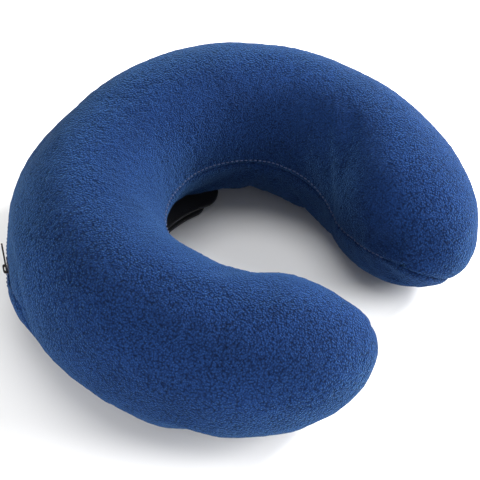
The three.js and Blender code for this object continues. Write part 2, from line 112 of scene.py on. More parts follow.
# Zip
ZIP_END = 51.0
TAPE_ANGLES = (1.5, 16.0)
SLOT_ANGLE = 5.6
ZIP_RADIUS = RING_RADIUS + HALF_WIDTH[0]
COIL = {"low": 0.25, "high": 3.4, "pitch": 1.5}
COIL_END = 49.5

# Strap
STRAP = {"inner": 66.0, "outer": 106.0, "fold": -42.0, "thickness": 1.5, "corner": 15.0}
STRAP_END = {"fixed": 42.0, "free": 35.0}


# ---- Form of the padded body ----

def unit(vectors):
    return vectors / np.maximum(np.linalg.norm(vectors, axis=-1, keepdims=True), 1e-9)


def smoothstep(x, low, high):
    t = np.clip((x - low) / (high - low), 0.0, 1.0)
    return t * t * (3 - 2 * t)


def along_arm(values, azimuth):
    t = np.minimum(np.abs(azimuth) / ARM_END, 1.0)
    bend, arm, tip = values
    return bend * (1 - t) * (1 - 2 * t) + arm * 4 * t * (1 - t) + tip * t * (2 * t - 1)


def beyond_zip(values, azimuth):
    t = np.maximum(np.abs(azimuth) - ZIP_END, 0.0) / (ARM_END - ZIP_END)
    return values[0] + (values[1] - values[0]) * t * t


def outer_seam_angle(azimuth, tip):
    drop = smoothstep(np.abs(azimuth), ZIP_END, ZIP_END + OUTER_SEAM["ramp"])
    return OUTER_SEAM["arm"] * drop + (OUTER_SEAM["tip"] - OUTER_SEAM["arm"]) * tip**2


def sole_height(azimuth):
    return BEND_CLEARANCE * (1 - smoothstep(np.abs(azimuth), *BEND_CLEARANCE_SPAN))


def signed_power(value, power):
    return np.sign(value) * np.abs(value) ** power


def on_ring(azimuth, radius, height):
    turn = np.radians(azimuth)
    x, y = AXIS[0] + radius * np.sin(turn), AXIS[1] + radius * np.cos(turn)
    return np.stack(np.broadcast_arrays(x, y, np.asarray(height, float)), axis=-1)


def outward(azimuth):
    return on_ring(azimuth, 1.0, 0.0) - on_ring(azimuth, 0.0, 0.0)


def surface(azimuth, tip, angle, inset=0.0):
    """Points of the padded body, in millimetres in the row frame. The arguments broadcast."""
    azimuth, tip, angle, inset = np.broadcast_arrays(
        *(np.asarray(value, float) for value in (azimuth, tip, angle, inset)))
    tip_arc = np.degrees((TIP_LENGTH - inset) / RING_RADIUS)
    place = azimuth + np.sign(azimuth) * tip * tip_arc
    shrink = np.sqrt(np.maximum(1 - tip**TIP_POWER, 0.0))
    up, out = np.sin(np.radians(angle)), np.cos(np.radians(angle))
    level = beyond_zip(SEAM_LEVEL, place)
    half_width = beyond_zip(HALF_WIDTH, place) - inset
    above = along_arm(HEIGHT_ABOVE, place) - inset
    below = level + SOLE_DEPTH - inset
    upper = np.where(out >= 0, ROUNDNESS["upper_outer"], ROUNDNESS["upper_inner"])
    to_arm = smoothstep(np.abs(place), UNDERCUT["from"], UNDERCUT["to"])
    undercut = UNDERCUT["bend"] + (UNDERCUT["arm"] - UNDERCUT["bend"]) * to_arm
    lower = np.where(out >= 0, ROUNDNESS["lower_outer"], undercut)
    power = 2 / np.where(up >= 0, upper, lower)
    radius = RING_RADIUS + half_width * shrink * signed_power(out, power)
    rise = np.where(up >= 0, above, below) * shrink * signed_power(up, power)
    return on_ring(place, radius, np.maximum(level + rise, sole_height(place) + inset))


def ring_stations(step):
    """Azimuths and tip fractions of rows about step apart, from the point of one tip to the other, both left
    out, with the length along the ring of each."""
    rows = round(2 * math.radians(TIP_START) * RING_RADIUS / step)
    tip_rows = round(TIP_LENGTH * 1.25 / step)
    turn = np.linspace(0, math.pi / 2, tip_rows + 1)[1:-1]
    fraction = np.sin(turn) ** (2 / TIP_POWER)
    azimuth = np.linspace(-TIP_START, TIP_START, rows + 1)
    ends = np.full(len(fraction), TIP_START)
    azimuth = np.concatenate([-ends, azimuth, ends])
    tip = np.concatenate([fraction[::-1], np.zeros(rows + 1), fraction])
    length = RING_RADIUS * np.radians(azimuth) + np.sign(azimuth) * tip * TIP_LENGTH
    return azimuth[:, None], tip[:, None], length[:, None]


def edge_angles(azimuth, tip):
    """Section angles where the two panels stop: the top panel's outer edge, the inner seam, and the bottom
    panel's outer edge."""
    slot = SLOT_ANGLE * (1 - smoothstep(np.abs(azimuth), ZIP_END - 1.5, ZIP_END + 3))
    outer = outer_seam_angle(azimuth, tip)
    return outer + slot, beyond_zip(INNER_SEAM, azimuth), 360 + outer - slot


# ---- Smooth noise on numpy arrays ----

HASH_PRIMES = (127.1, 311.7, 74.7)


def hashed(cells):
    total = sum(cells[..., axis] * HASH_PRIMES[axis] for axis in range(cells.shape[-1]))
    return np.modf(np.abs(np.sin(total + SEED) * 43758.5453))[0] * 2 - 1


def value_noise(points, size):
    """Noise from -1 to 1 with lumps about size across. Each point has 1 to 3 coordinates."""
    scaled = points / size
    cell = np.floor(scaled)
    t = scaled - cell
    t = t * t * (3 - 2 * t)
    axes = points.shape[-1]
    total = np.zeros(points.shape[:-1])
    for corner in range(2**axes):
        pick = np.array([(corner >> axis) & 1 for axis in range(axes)])
        total += np.prod(np.where(pick, t, 1 - t), axis=-1) * hashed(cell + pick)
    return total


# ---- Meshes ----

def new_mesh(name, points, faces, smooth=True):
    mesh = bpy.data.meshes.new(name)
    mesh.from_pydata((np.asarray(points) * MM).tolist(), [], faces)
    mesh.validate()
    mesh.polygons.foreach_set("use_smooth", [smooth] * len(mesh.polygons))
    piece = bpy.data.objects.new(name, mesh)
    bpy.context.scene.collection.objects.link(piece)
    return piece


def grid_faces(rows, columns, start=0, flip=False, closed=False):
    """Quads between the points of a grid that was added row by row."""
    i, j = np.meshgrid(np.arange(rows - 1), np.arange(columns if closed else columns - 1), indexing="ij")
    k = (j + 1) % columns
    corners = [i * columns + j, (i + 1) * columns + j, (i + 1) * columns + k, i * columns + k]
    faces = np.stack([corner.ravel() for corner in corners], axis=1) + start
    return (faces if flip else faces[:, ::-1]).tolist()


def fan(ring, point, flip):
    """Triangles from a row of points to one point."""
    faces = [[ring[k], ring[k + 1], point] for k in range(len(ring) - 1)]
    return [face[::-1] for face in faces] if flip else faces


def closed_faces(rows, columns):
    """Faces of a closed body from rows of rings, with a point at each end."""
    faces = grid_faces(rows, columns, closed=True)
    for end, row in ((0, 0), (1, rows - 1)):
        ring = [row * columns + j % columns for j in range(columns + 1)]
        faces += fan(ring, rows * columns + end, flip=end == 1)
    return faces


def fix_normals(piece):
    shape = bmesh.new()
    shape.from_mesh(piece.data)
    bmesh.ops.recalc_face_normals(shape, faces=shape.faces)
    shape.to_mesh(piece.data)
    shape.free()


def cloth_uv(along, across):
    """Places on the flat cloth, one pair for each point of a grid."""
    return np.stack(np.broadcast_arrays(along, across), axis=-1).reshape(-1, 2)


def slab(name, front, back, along, across):
    """A thin closed sheet from two grids of the same size, with a rim round them. along and across are their
    places on the flat cloth."""
    rows, columns = front.shape[:2]
    base = rows * columns
    rim = [i * columns for i in range(rows)] + [(rows - 1) * columns + j for j in range(1, columns)]
    rim += [i * columns + columns - 1 for i in range(rows - 2, -1, -1)] + list(range(columns - 2, 0, -1))
    faces = grid_faces(rows, columns) + grid_faces(rows, columns, base, flip=True)
    faces += [[a, b, b + base, a + base] for a, b in zip(rim, rim[1:] + rim[:1])]
    piece = new_mesh(name, np.concatenate([front.reshape(-1, 3), back.reshape(-1, 3)]), faces)
    fix_normals(piece)
    uv = cloth_uv(along, across)
    write_uv(piece, np.concatenate([uv, uv]) * MM)
    return piece


def cloth_shell(name, outer, inner, outer_poles, inner_poles):
    """A closed sheet from two skins of points in rows. The skins have equal rows, and may have different
    columns. They are joined along both edges and run on to a point at each end."""
    rows, wide = outer.shape[:2]
    narrow = inner.shape[1]
    base = rows * wide
    points = np.concatenate([outer.reshape(-1, 3), inner.reshape(-1, 3), outer_poles, inner_poles])
    faces = grid_faces(rows, wide) + grid_faces(rows, narrow, base, flip=True)

    def top(i, j):
        return i * wide + j % wide

    def under(i, j):
        return base + i * narrow + j % narrow

    for i in range(rows - 1):
        faces.append([top(i, 0), top(i + 1, 0), under(i + 1, 0), under(i, 0)])
        faces.append([top(i + 1, -1), top(i, -1), under(i, -1), under(i + 1, -1)])
    poles = base + rows * narrow
    for end, row in ((0, 0), (1, rows - 1)):
        outside, inside = poles + end, poles + 2 + end
        faces += fan([top(row, j) for j in range(wide)], outside, flip=end == 1)
        faces += fan([under(row, j) for j in range(narrow)], inside, flip=end == 0)
        sides = [[top(row, 0), outside, inside, under(row, 0)],
                 [outside, top(row, -1), under(row, -1), inside]]
        faces += [side[::-1] for side in sides] if end == 0 else sides
    return new_mesh(name, points, faces)


def write_uv(piece, coordinates):
    """coordinates has one pair of metres for each vertex."""
    layer = piece.data.uv_layers.new(name="cloth")
    corner = np.empty(len(piece.data.loops), np.int32)
    piece.data.loops.foreach_get("vertex_index", corner)
    layer.data.foreach_set("uv", np.asarray(coordinates, np.float32)[corner].ravel())


def apply_modifiers(piece):
    depsgraph = bpy.context.evaluated_depsgraph_get()
    made = bpy.data.meshes.new_from_object(piece.evaluated_get(depsgraph))
    piece.modifiers.clear()
    piece.data = made
    made.name = piece.name


def finish_piece(piece, body, slot, *nodes, material=None):
    piece.data.materials.clear()
    piece.data.materials.append(MATERIALS[material or slot])
    if body:
        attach(piece, body)
    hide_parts(*nodes)


# ---- Materials ----

class Nodes:
    """A short way to wire a material's nodes."""

    def __init__(self, name):
        self.material = bpy.data.materials.new(name)
        self.material.use_nodes = True
        self.tree = self.material.node_tree
        self.shader = next(node for node in self.tree.nodes if node.type == "BSDF_PRINCIPLED")

    def add(self, kind, inputs=None, **settings):
        node = self.tree.nodes.new(f"ShaderNode{kind}")
        for key, value in settings.items():
            setattr(node, key, value)
        for key, value in (inputs or {}).items():
            self.put(node.inputs[key], value)
        return node

    def put(self, socket, value):
        if isinstance(value, bpy.types.NodeSocket):
            self.tree.links.new(value, socket)
        else:
            socket.default_value = value

    def set(self, **values):
        for key, value in values.items():
            self.put(self.shader.inputs[key.replace("_", " ")], value)

    def uv(self, scale=1.0):
        source = self.add("UVMap", uv_map="cloth").outputs["UV"]
        return self.add("VectorMath", {0: source, "Scale": scale}, operation="SCALE").outputs[0]

    def place(self, scale=1.0):
        source = self.add("TexCoord").outputs["Object"]
        return self.add("VectorMath", {0: source, "Scale": scale}, operation="SCALE").outputs[0]

    def noise(self, vector, scale=1.0, detail=2.0, roughness=0.5, distortion=0.0):
        inputs = {"Vector": vector, "Scale": scale, "Detail": detail, "Roughness": roughness}
        node = self.add("TexNoise", {**inputs, "Distortion": distortion})
        return node.outputs["Fac"]

    def cells(self, vector, scale=1.0):
        """Rounded clumps: 0 in their middles, and more towards the gaps between them."""
        return self.add("TexVoronoi", {"Vector": vector, "Scale": scale}).outputs["Distance"]

    def ribs(self, scale, distortion, axis="X", detail=2.0):
        inputs = {"Vector": self.uv(), "Scale": scale, "Distortion": distortion, "Detail": detail}
        return self.add("TexWave", inputs, bands_direction=axis).outputs["Fac"]

    def spread(self, value, low, high):
        return self.add("MapRange", {"Value": value, "To Min": low, "To Max": high}).outputs[0]

    def math(self, operation, a, b):
        return self.add("Math", {0: a, 1: b}, operation=operation).outputs[0]

    def ramp(self, value, *stops):
        node = self.add("ValToRGB", {"Fac": value})
        elements = node.color_ramp.elements
        while len(elements) < len(stops):
            elements.new(0.5)
        for element, (position, color) in zip(elements, stops):
            element.position = position
            element.color = (*color, 1)
        return node.outputs["Color"]

    def mix(self, factor, a, b, blend="MIX"):
        node = self.add("Mix", {"Factor": factor}, data_type="RGBA", blend_type=blend)
        self.put(node.inputs[6], a)
        self.put(node.inputs[7], b)
        return node.outputs[2]

    def bump(self, height, distance, strength=1.0):
        inputs = {"Height": height, "Distance": distance, "Strength": strength}
        return self.add("Bump", inputs).outputs["Normal"]


def grey(level):
    return (level, level, level)


def velour_material():
    """Blue towelling velour: clumps of short looped pile, smaller on the neck side, with painted highlight on
    the clump middles and painted shade in the gaps between them, broad cloudy patches and a soft sheen."""
    n = Nodes("velour")
    place = n.add("TexCoord").outputs["Object"]
    centre = tuple(AXIS[:2] * MM)
    offset = n.add("VectorMath", {0: place, 1: (*centre, 0)}, operation="SUBTRACT").outputs[0]
    flat = n.add("VectorMath", {0: offset, 1: (1, 1, 0)}, operation="MULTIPLY").outputs[0]
    radius = n.add("VectorMath", {0: flat}, operation="LENGTH").outputs["Value"]
    inside = n.add("MapRange", {"Value": radius, "From Min": 0.1, "From Max": 0.065}).outputs[0]
    gaps = n.add("Mix", {"Factor": inside, 2: n.cells(place, 780), 3: n.cells(place, 1250)},
                 data_type="FLOAT").outputs[0]
    loops = n.math("SUBTRACT", 1.0, gaps)
    fuzz = n.noise(place, scale=950, detail=2.0, roughness=0.6)
    pile = n.math("ADD", n.math("MULTIPLY", loops, 0.5), n.math("MULTIPLY", fuzz, 0.5))
    patches = n.noise(place, scale=24, detail=3.0, roughness=0.6)
    # The colour follows the pile's relief. Clump middles are painted lighter and the gaps between them
    # darker, as painted light and shade of the pile. The fuzz noise adds the cloth's own random mottle.
    color = n.ramp(
        pile,
        (0.30, (0.0020, 0.0070, 0.029)),
        (0.44, (0.0037, 0.0133, 0.053)),
        (0.56, (0.0056, 0.0205, 0.081)),
        (0.72, (0.0100, 0.0350, 0.120)),
    )
    shade = n.ramp(patches, (0.3, grey(0.82)), (0.72, grey(1.12)))
    n.set(Base_Color=n.mix(1.0, color, shade, blend="MULTIPLY"))
    n.set(Roughness=0.95, Specular_IOR_Level=0.05)
    n.set(Sheen_Weight=0.23, Sheen_Roughness=0.36, Sheen_Tint=(0.20, 0.50, 1.0, 1.0))
    n.set(Normal=n.bump(pile, 0.0018, 1.0))
    return n.material


def thread_material(name, color):
    n = Nodes(name)
    twist = n.noise(n.place(2600), detail=2.0)
    tone = n.ramp(twist, (0.3, [value * 0.55 for value in color]), (0.7, [value * 1.5 for value in color]))
    n.set(Base_Color=tone, Roughness=0.62, Specular_IOR_Level=0.25)
    n.set(Sheen_Weight=0.2, Sheen_Roughness=0.4, Normal=n.bump(twist, 0.0001, 0.6))
    return n.material


def tape_material():
    """Black herringbone zip tape."""
    n = Nodes("zip_tape_weave")
    ribs = n.ribs(260.0, 0.6, detail=1.0)
    fuzz = n.noise(n.place(1500), detail=2.0)
    weave = n.math("ADD", n.math("MULTIPLY", ribs, 0.7), n.math("MULTIPLY", fuzz, 0.3))
    n.set(Base_Color=n.ramp(weave, (0.2, grey(0.006)), (0.8, (0.026, 0.027, 0.031))))
    n.set(Roughness=0.85, Specular_IOR_Level=0.2, Sheen_Weight=0.15)
    n.set(Normal=n.bump(weave, 0.00015, 0.8))
    return n.material


def nylon_material():
    n = Nodes("nylon_coil")
    wear = n.noise(n.place(700), detail=3.0)
    n.set(Base_Color=n.ramp(wear, (0.3, grey(0.006)), (0.75, (0.022, 0.022, 0.026))))
    n.set(Roughness=n.spread(wear, 0.28, 0.46))
    n.set(Specular_IOR_Level=0.5, Normal=n.bump(wear, 0.00004, 0.4))
    return n.material


def metal_material():
    """Black-nickel plating, rubbed paler on high spots."""
    n = Nodes("black_nickel")
    rub = n.noise(n.place(420), detail=4.0, roughness=0.6)
    scratches = n.noise(n.place(90), scale=9, detail=3.0, distortion=1.5)
    n.set(Base_Color=n.ramp(rub, (0.35, (0.014, 0.013, 0.013)), (0.7, (0.045, 0.040, 0.036))))
    n.set(Metallic=1.0, Normal=n.bump(scratches, 0.00005, 0.25))
    n.set(Roughness=n.spread(rub, 0.22, 0.42))
    return n.material


def strap_material():
    """Charcoal strap cloth with a smooth matt face and a fine weave."""
    n = Nodes("strap_cloth")
    weave = n.cells(n.uv(1500))
    cloudy = n.noise(n.place(45), detail=3.0)
    tone = n.ramp(cloudy, (0.3, (0.020, 0.021, 0.024)), (0.72, (0.034, 0.036, 0.040)))
    n.set(Base_Color=n.mix(0.3, tone, n.ramp(weave, (0.0, grey(0.05)), (0.8, grey(0.008)))))
    n.set(Roughness=0.58, Specular_IOR_Level=0.35, Sheen_Weight=0.08)
    n.set(Normal=n.bump(weave, 0.00012, 0.5))
    return n.material


def label_material():
    """Blank grey satin ribbon."""
    n = Nodes("satin_ribbon")
    ribs = n.ribs(900.0, 0.4, axis="Y")
    soil = n.noise(n.place(60), detail=3.0)
    n.set(Base_Color=n.ramp(soil, (0.3, (0.10, 0.10, 0.10)), (0.7, (0.14, 0.14, 0.135))))
    n.set(Roughness=0.45, Specular_IOR_Level=0.3, Sheen_Weight=0.05, Normal=n.bump(ribs, 0.00006, 0.5))
    return n.material


def foam_material():
    """Cream memory foam with fine open pores."""
    n = Nodes("memory_foam")
    pores = n.cells(n.place(900))
    tone = n.noise(n.place(22), detail=3.0)
    cream = n.ramp(tone, (0.3, (0.70, 0.60, 0.40)), (0.7, (0.82, 0.74, 0.56)))
    n.set(Base_Color=n.mix(0.25, cream, n.ramp(pores, (0.1, (0.35, 0.28, 0.16)), (0.5, (0.9, 0.82, 0.65)))))
    n.set(Roughness=0.95, Specular_IOR_Level=0.1, Normal=n.bump(pores, 0.0004, 0.6))
    return n.material


def knit_material():
    """Off-white knitted liner with fine ribs."""
    n = Nodes("liner_knit")
    ribs = n.ribs(330.0, 1.2)
    n.set(Base_Color=n.ramp(ribs, (0.2, (0.50, 0.50, 0.47)), (0.8, (0.72, 0.72, 0.70))))
    n.set(Roughness=0.9, Specular_IOR_Level=0.15, Sheen_Weight=0.3, Normal=n.bump(ribs, 0.0003, 0.7))
    return n.material


def floor_material():
    n = Nodes("studio_floor")
    n.set(Base_Color=(0.86, 0.86, 0.86, 1), Roughness=0.9, Specular_IOR_Level=0.1)
    return n.material


NAVY = (0.034, 0.052, 0.120)
MATERIALS = {
    "foam": foam_material(),
    "knit": knit_material(),
    "velour": velour_material(),
    "thread": thread_material("seam_thread", NAVY),
    "tape": tape_material(),
    "coil": nylon_material(),
    "metal": metal_material(),
    "strap": strap_material(),
    "label": label_material(),
    "strap_thread": thread_material("strap_thread", (0.014, 0.014, 0.017)),
}


# ---- Camera, lights and floor ----

CAMERA = {"azimuth": -56.8, "elevation": 46.37, "distance": 920.0, "lens": 111.1}
CAMERA_TARGET = AXIS + np.array([-13.45, -2.56, 0.5])
SOFTBOX_DISTANCE = 1.6
FLOOR_HALF_SIDE = 3000.0


def face_pillow(data, azimuth, elevation, distance, target=(0, 0, 0)):
    """Puts a lamp or the camera at a distance in metres from a target and turns it to it. Azimuth 0 is on the
    side of the opening."""
    turn, lift = math.radians(azimuth), math.radians(elevation)
    away = Vector((math.sin(turn) * math.cos(lift), -math.cos(turn) * math.cos(lift), math.sin(lift)))
    item = bpy.data.objects.new(data.name, data)
    item.location = Vector(target) + away * distance
    item.rotation_euler = (-away).to_track_quat("-Z", "Y").to_euler()
    bpy.context.scene.collection.objects.link(item)
    return item


def softbox(name, azimuth, elevation, size, power):
    lamp = bpy.data.lights.new(name, "AREA")
    lamp.shape = "DISK"
    lamp.size = size
    lamp.energy = power
    face_pillow(lamp, azimuth, elevation, SOFTBOX_DISTANCE)


def studio():
    data = bpy.data.cameras.new("camera")
    data.lens = CAMERA["lens"]
    view = (CAMERA["azimuth"], CAMERA["elevation"], CAMERA["distance"] * MM)
    bpy.context.scene.camera = face_pillow(data, *view, CAMERA_TARGET * MM)

    softbox("softbox_key", 66, 27, 0.6, 80)
    softbox("softbox_right", 24, 24, 0.8, 30)
    softbox("softbox_left", -82, 8, 1.0, 42)
    softbox("softbox_top", 0, 89, 1.2, 13)

    world = bpy.data.worlds.new("studio")
    bpy.context.scene.world = world
    world.use_nodes = True
    background = world.node_tree.nodes["Background"]
    background.inputs["Color"].default_value = (1, 1, 1, 1)
    background.inputs["Strength"].default_value = 0.4

    corners = [(x * FLOOR_HALF_SIDE, y * FLOOR_HALF_SIDE, 0) for x, y in ((-1, -1), (1, -1), (1, 1), (-1, 1))]
    floor = new_mesh("floor", corners, [[0, 1, 2, 3]], smooth=False)
    floor.data.materials.append(floor_material())
    bpy.context.scene.view_settings.view_transform = "Standard"


studio()


# ---- Swelling of the cover, by cloth simulation ----

SWELL = {"step": 5.5, "top": 34, "bottom": 26, "inset": 2.4, "cap": 5.0, "pressure": 4.0,
         "frames": 20, "slack": 0.03, "soften": 8}


def panel_angles(azimuth, tip, fractions, panel):
    top_edge, seam, bottom_edge = edge_angles(azimuth, tip)
    start, end = (top_edge, seam) if panel == "top" else (seam, bottom_edge)
    return start + (end - start) * fractions


def swollen_offsets():
    """How far the cover moves when it is blown up from inside with its seams held: one grid of offsets in
    millimetres for each panel, with the rows and fractions that they stand at."""
    azimuth, tip, length = ring_stations(SWELL["step"])
    fractions = {panel: np.linspace(0, 1, SWELL[panel] + 1) for panel in ("top", "bottom")}
    grids = [surface(azimuth, tip, panel_angles(azimuth, tip, fractions[panel], panel), SWELL["inset"])
             for panel in ("top", "bottom")]
    # The panels share the columns of both seams.
    points = np.concatenate([grids[0], grids[1][:, 1:-1]], axis=1)
    rows, columns = points.shape[:2]
    poles = surface([-TIP_START, TIP_START], 1.0, 0.0, SWELL["inset"])
    start = np.concatenate([points.reshape(-1, 3), poles])
    balloon = new_mesh("balloon", start, closed_faces(rows, columns))

    held = np.zeros((rows, columns), bool)
    held[:, [0, SWELL["top"]]] = True
    held |= points[..., 2] < sole_height(azimuth) + SWELL["inset"] + 0.2
    group = balloon.vertex_groups.new(name="held")
    group.add(np.flatnonzero(held.ravel()).tolist() + [rows * columns, rows * columns + 1], 1.0, "REPLACE")

    cloth = balloon.modifiers.new("swell", "CLOTH")
    settings = {"quality": 6, "mass": 0.3, "tension_stiffness": 12, "compression_stiffness": 12,
                "shear_stiffness": 5, "bending_stiffness": 0.5, "use_pressure": True,
                "uniform_pressure_force": SWELL["pressure"], "vertex_group_mass": "held",
                "shrink_min": -SWELL["slack"]}
    for key, value in settings.items():
        setattr(cloth.settings, key, value)
    cloth.settings.effector_weights.gravity = 0
    scene = bpy.context.scene
    for step in range(1, SWELL["frames"] + 1):
        scene.frame_set(step)
    evaluated = balloon.evaluated_get(bpy.context.evaluated_depsgraph_get())
    moved = np.empty(len(start) * 3)
    evaluated.data.vertices.foreach_get("co", moved)
    offset = moved.reshape(-1, 3) / MM - start
    distance = np.linalg.norm(offset, axis=1, keepdims=True)
    offset *= np.minimum(1, SWELL["cap"] / np.maximum(distance, 1e-9))
    bpy.data.objects.remove(balloon)
    scene.frame_set(1)
    grid = offset[:-2].reshape(rows, columns, 3)
    top = grid[:, :SWELL["top"] + 1]
    bottom = np.concatenate([grid[:, SWELL["top"]:], grid[:, :1]], axis=1)
    return {"length": length[:, 0], "top": (fractions["top"], top), "bottom": (fractions["bottom"], bottom)}


def resample(values, old, new, axis):
    """Linear interpolation of a grid of vectors along one axis."""
    index = np.clip(np.searchsorted(old, new) - 1, 0, len(old) - 2)
    t = np.clip((new - old[index]) / (old[index + 1] - old[index]), 0, 1)
    shape = [1, 1, 1]
    shape[axis] = len(new)
    t = t.reshape(shape)
    return np.take(values, index, axis) * (1 - t) + np.take(values, index + 1, axis) * t


def soften(values, times):
    """Blurs a grid of vectors along both axes, and keeps its edges."""
    for _ in range(times):
        for axis in (0, 1):
            line = np.moveaxis(values, axis, 0)
            middle = line[1:-1] * 0.5 + (line[:-2] + line[2:]) * 0.25
            values = np.moveaxis(np.concatenate([line[:1], middle, line[-1:]]), 0, axis)
    return values


# ---- Cover panels ----

COVER_STEP = 1.05
COLUMNS = {"top": 134, "bottom": 84}
EDGE = {"share": 0.035, "columns": 8}
LINING_COLUMNS = 40
SEAM_GROOVE = {"depth": 1.5, "width": 2.0}
HEM_ROLL = {"depth": 1.3, "width": 0.8}


def column_fractions(panel):
    """From 0 to 1 across a panel, closer together along its two edges."""
    share, count = EDGE["share"], EDGE["columns"]
    edge = np.linspace(0, share, count + 1)[:-1]
    return np.concatenate([edge, np.linspace(share, 1 - share, COLUMNS[panel]), (1 - edge)[::-1]])


def grid_normals(points):
    along = np.gradient(points, axis=0)
    across = np.gradient(points, axis=1)
    return unit(np.cross(across, along))


def arc_lengths(points):
    """Length across a grid from its first column, row by row."""
    steps = np.linalg.norm(np.diff(points, axis=1), axis=-1)
    return np.concatenate([np.zeros((len(points), 1)), np.cumsum(steps, axis=1)], axis=1)


# Where this pillow is fuller or flatter than the even form: azimuth, section angle, reach of each, height
FULLNESS = [
    (-2, 30, 24, 28, -4.2),
    (-15, 22, 13, 28, -2.6),
    (45, 40, 40, 35, -1.0),
    (98, 40, 30, 30, -3.4),
    (58, 225, 11, 24, 2.2),
    (112, 218, 20, 28, 3.0),
    (155, -15, 13, 42, 4.8),
    (-53, -21, 12, 26, 5.2),
    (-92, 140, 26, 30, 2.8),
    (-104, -45, 15, 24, 2.6),
    (-150, -42, 14, 30, -3.6),
    (-163, 45, 9, 50, 3.0),
]


def off_zip(length, angles):
    """0 on the zip and its tapes, and 1 away from them."""
    azimuth = np.abs(np.degrees(length / RING_RADIUS))
    turn = np.abs((angles + 180) % 360 - 180)
    return np.maximum(smoothstep(turn, 15, 33), smoothstep(azimuth, ZIP_END + 1, ZIP_END + 9))


def fullness(length, angles):
    azimuth = np.degrees(length / RING_RADIUS)
    away = off_zip(length, angles)
    total = np.zeros(angles.shape)
    for at_azimuth, at_angle, azimuth_reach, angle_reach, height in FULLNESS:
        turn = (angles - at_angle + 180) % 360 - 180
        bump = height * np.exp(-((azimuth - at_azimuth) / azimuth_reach) ** 2 - (turn / angle_reach) ** 2)
        total += bump if height > 0 else bump * away
    return total


def pucker(length, distance, strength, reach, wave, seed):
    """Short folds across a seam that die away with distance from it."""
    place = np.stack([length + distance * 0.12, distance * 0.12 + seed], axis=-1)
    folds = value_noise(place, wave) + 0.5 * value_noise(place + 31, wave * 0.45)
    patches = smoothstep(value_noise(length[..., None] + seed * 3, 26.0), -0.3, 0.7)
    return strength * folds * (0.35 + patches) * np.exp(-((distance / reach) ** 1.3))


def cloth_relief(points, azimuth, length, across, panel):
    """Height of the cloth over the smooth form: seam grooves, hem, puckers, lumps of foam and pile."""
    width = across[:, -1:]
    from_start, from_end = across, width - across
    from_outer, from_inner = (from_start, from_end) if panel == "top" else (from_end, from_start)
    at_zip = 1 - smoothstep(np.abs(azimuth), ZIP_END, ZIP_END + 4)
    long = length + np.zeros_like(across)
    relief = -SEAM_GROOVE["depth"] * np.exp(-from_inner / SEAM_GROOVE["width"])
    hem = -HEM_ROLL["depth"] * np.exp(-from_outer / HEM_ROLL["width"])
    stitch = -0.45 * np.exp(-(((from_outer - 2.2) / 0.7) ** 2))
    outer_groove = -SEAM_GROOVE["depth"] * np.exp(-from_outer / SEAM_GROOVE["width"])
    relief = relief + at_zip * (hem + stitch) + (1 - at_zip) * outer_groove
    relief = relief + pucker(long, from_inner, 0.42, 9.0, 6.5, 3)
    relief = relief + pucker(long, from_outer, 0.6 - 0.35 * at_zip, 12.0, 9.0, 11)
    crease = smoothstep(np.abs(length), RING_RADIUS * math.radians(TIP_START) - 12, 285)
    relief = relief + crease * pucker(long, from_inner, 1.0, 24.0, 8.0, 23)
    relief = relief + 0.75 * value_noise(points, 46.0) + 0.4 * value_noise(points + 90, 17.0)
    pile = value_noise(np.stack([long / 2.4, across / 3.6], axis=-1), 1.0) + 0.6 * value_noise(points, 2.6)
    return relief + 0.2 * pile * (1 - 0.6 * np.exp(-np.minimum(from_outer, from_inner) / 2.5))


def cover_skin(panel, swelling):
    """The outer and inner face of one panel, as grids along the arms and across the section."""
    azimuth, tip, length = ring_stations(COVER_STEP)
    fractions = column_fractions(panel)
    angles = panel_angles(azimuth, tip, fractions, panel)
    base = surface(azimuth, tip, angles, 0.0)
    across = arc_lengths(base)
    form = base
    if swelling:
        old_fractions, offsets = swelling[panel]
        moved = resample(offsets, swelling["length"], length[:, 0], 0)
        moved = resample(moved, old_fractions, fractions, 1)
        inward = surface(azimuth, tip, angles, SWELL["inset"])
        form = base + (inward + soften(moved, SWELL["soften"]) - base) * off_zip(length, angles)[..., None]
    normals = grid_normals(form)
    form = form + normals * fullness(length, angles)[..., None]
    relief = cloth_relief(base, azimuth, length, across, panel)
    return {"azimuth": azimuth, "tip": tip, "length": length, "across": across, "fractions": fractions,
            "normals": normals, "points": form + normals * relief[..., None],
            "inside": form - normals * (CLOTH + 0.3)}


def join_seams(top, bottom):
    """Bring the edges of the two panels together along both seams, and leave them apart at the zip."""
    sewn = smoothstep(np.abs(top["azimuth"]), ZIP_END + 2, ZIP_END + 6)
    for face in ("points", "inside"):
        for top_edge, bottom_edge, share in ((-1, 0, 1.0), (0, -1, sewn)):
            gap = (bottom[face][:, bottom_edge] - top[face][:, top_edge]) * share
            for skin, edge, shift in ((top, top_edge, gap / 2), (bottom, bottom_edge, -gap / 2)):
                reach = np.abs(skin["across"] - skin["across"][:, [edge]])
                skin[face] = skin[face] + shift[:, None] * np.exp(-((reach / 3) ** 2))[..., None]


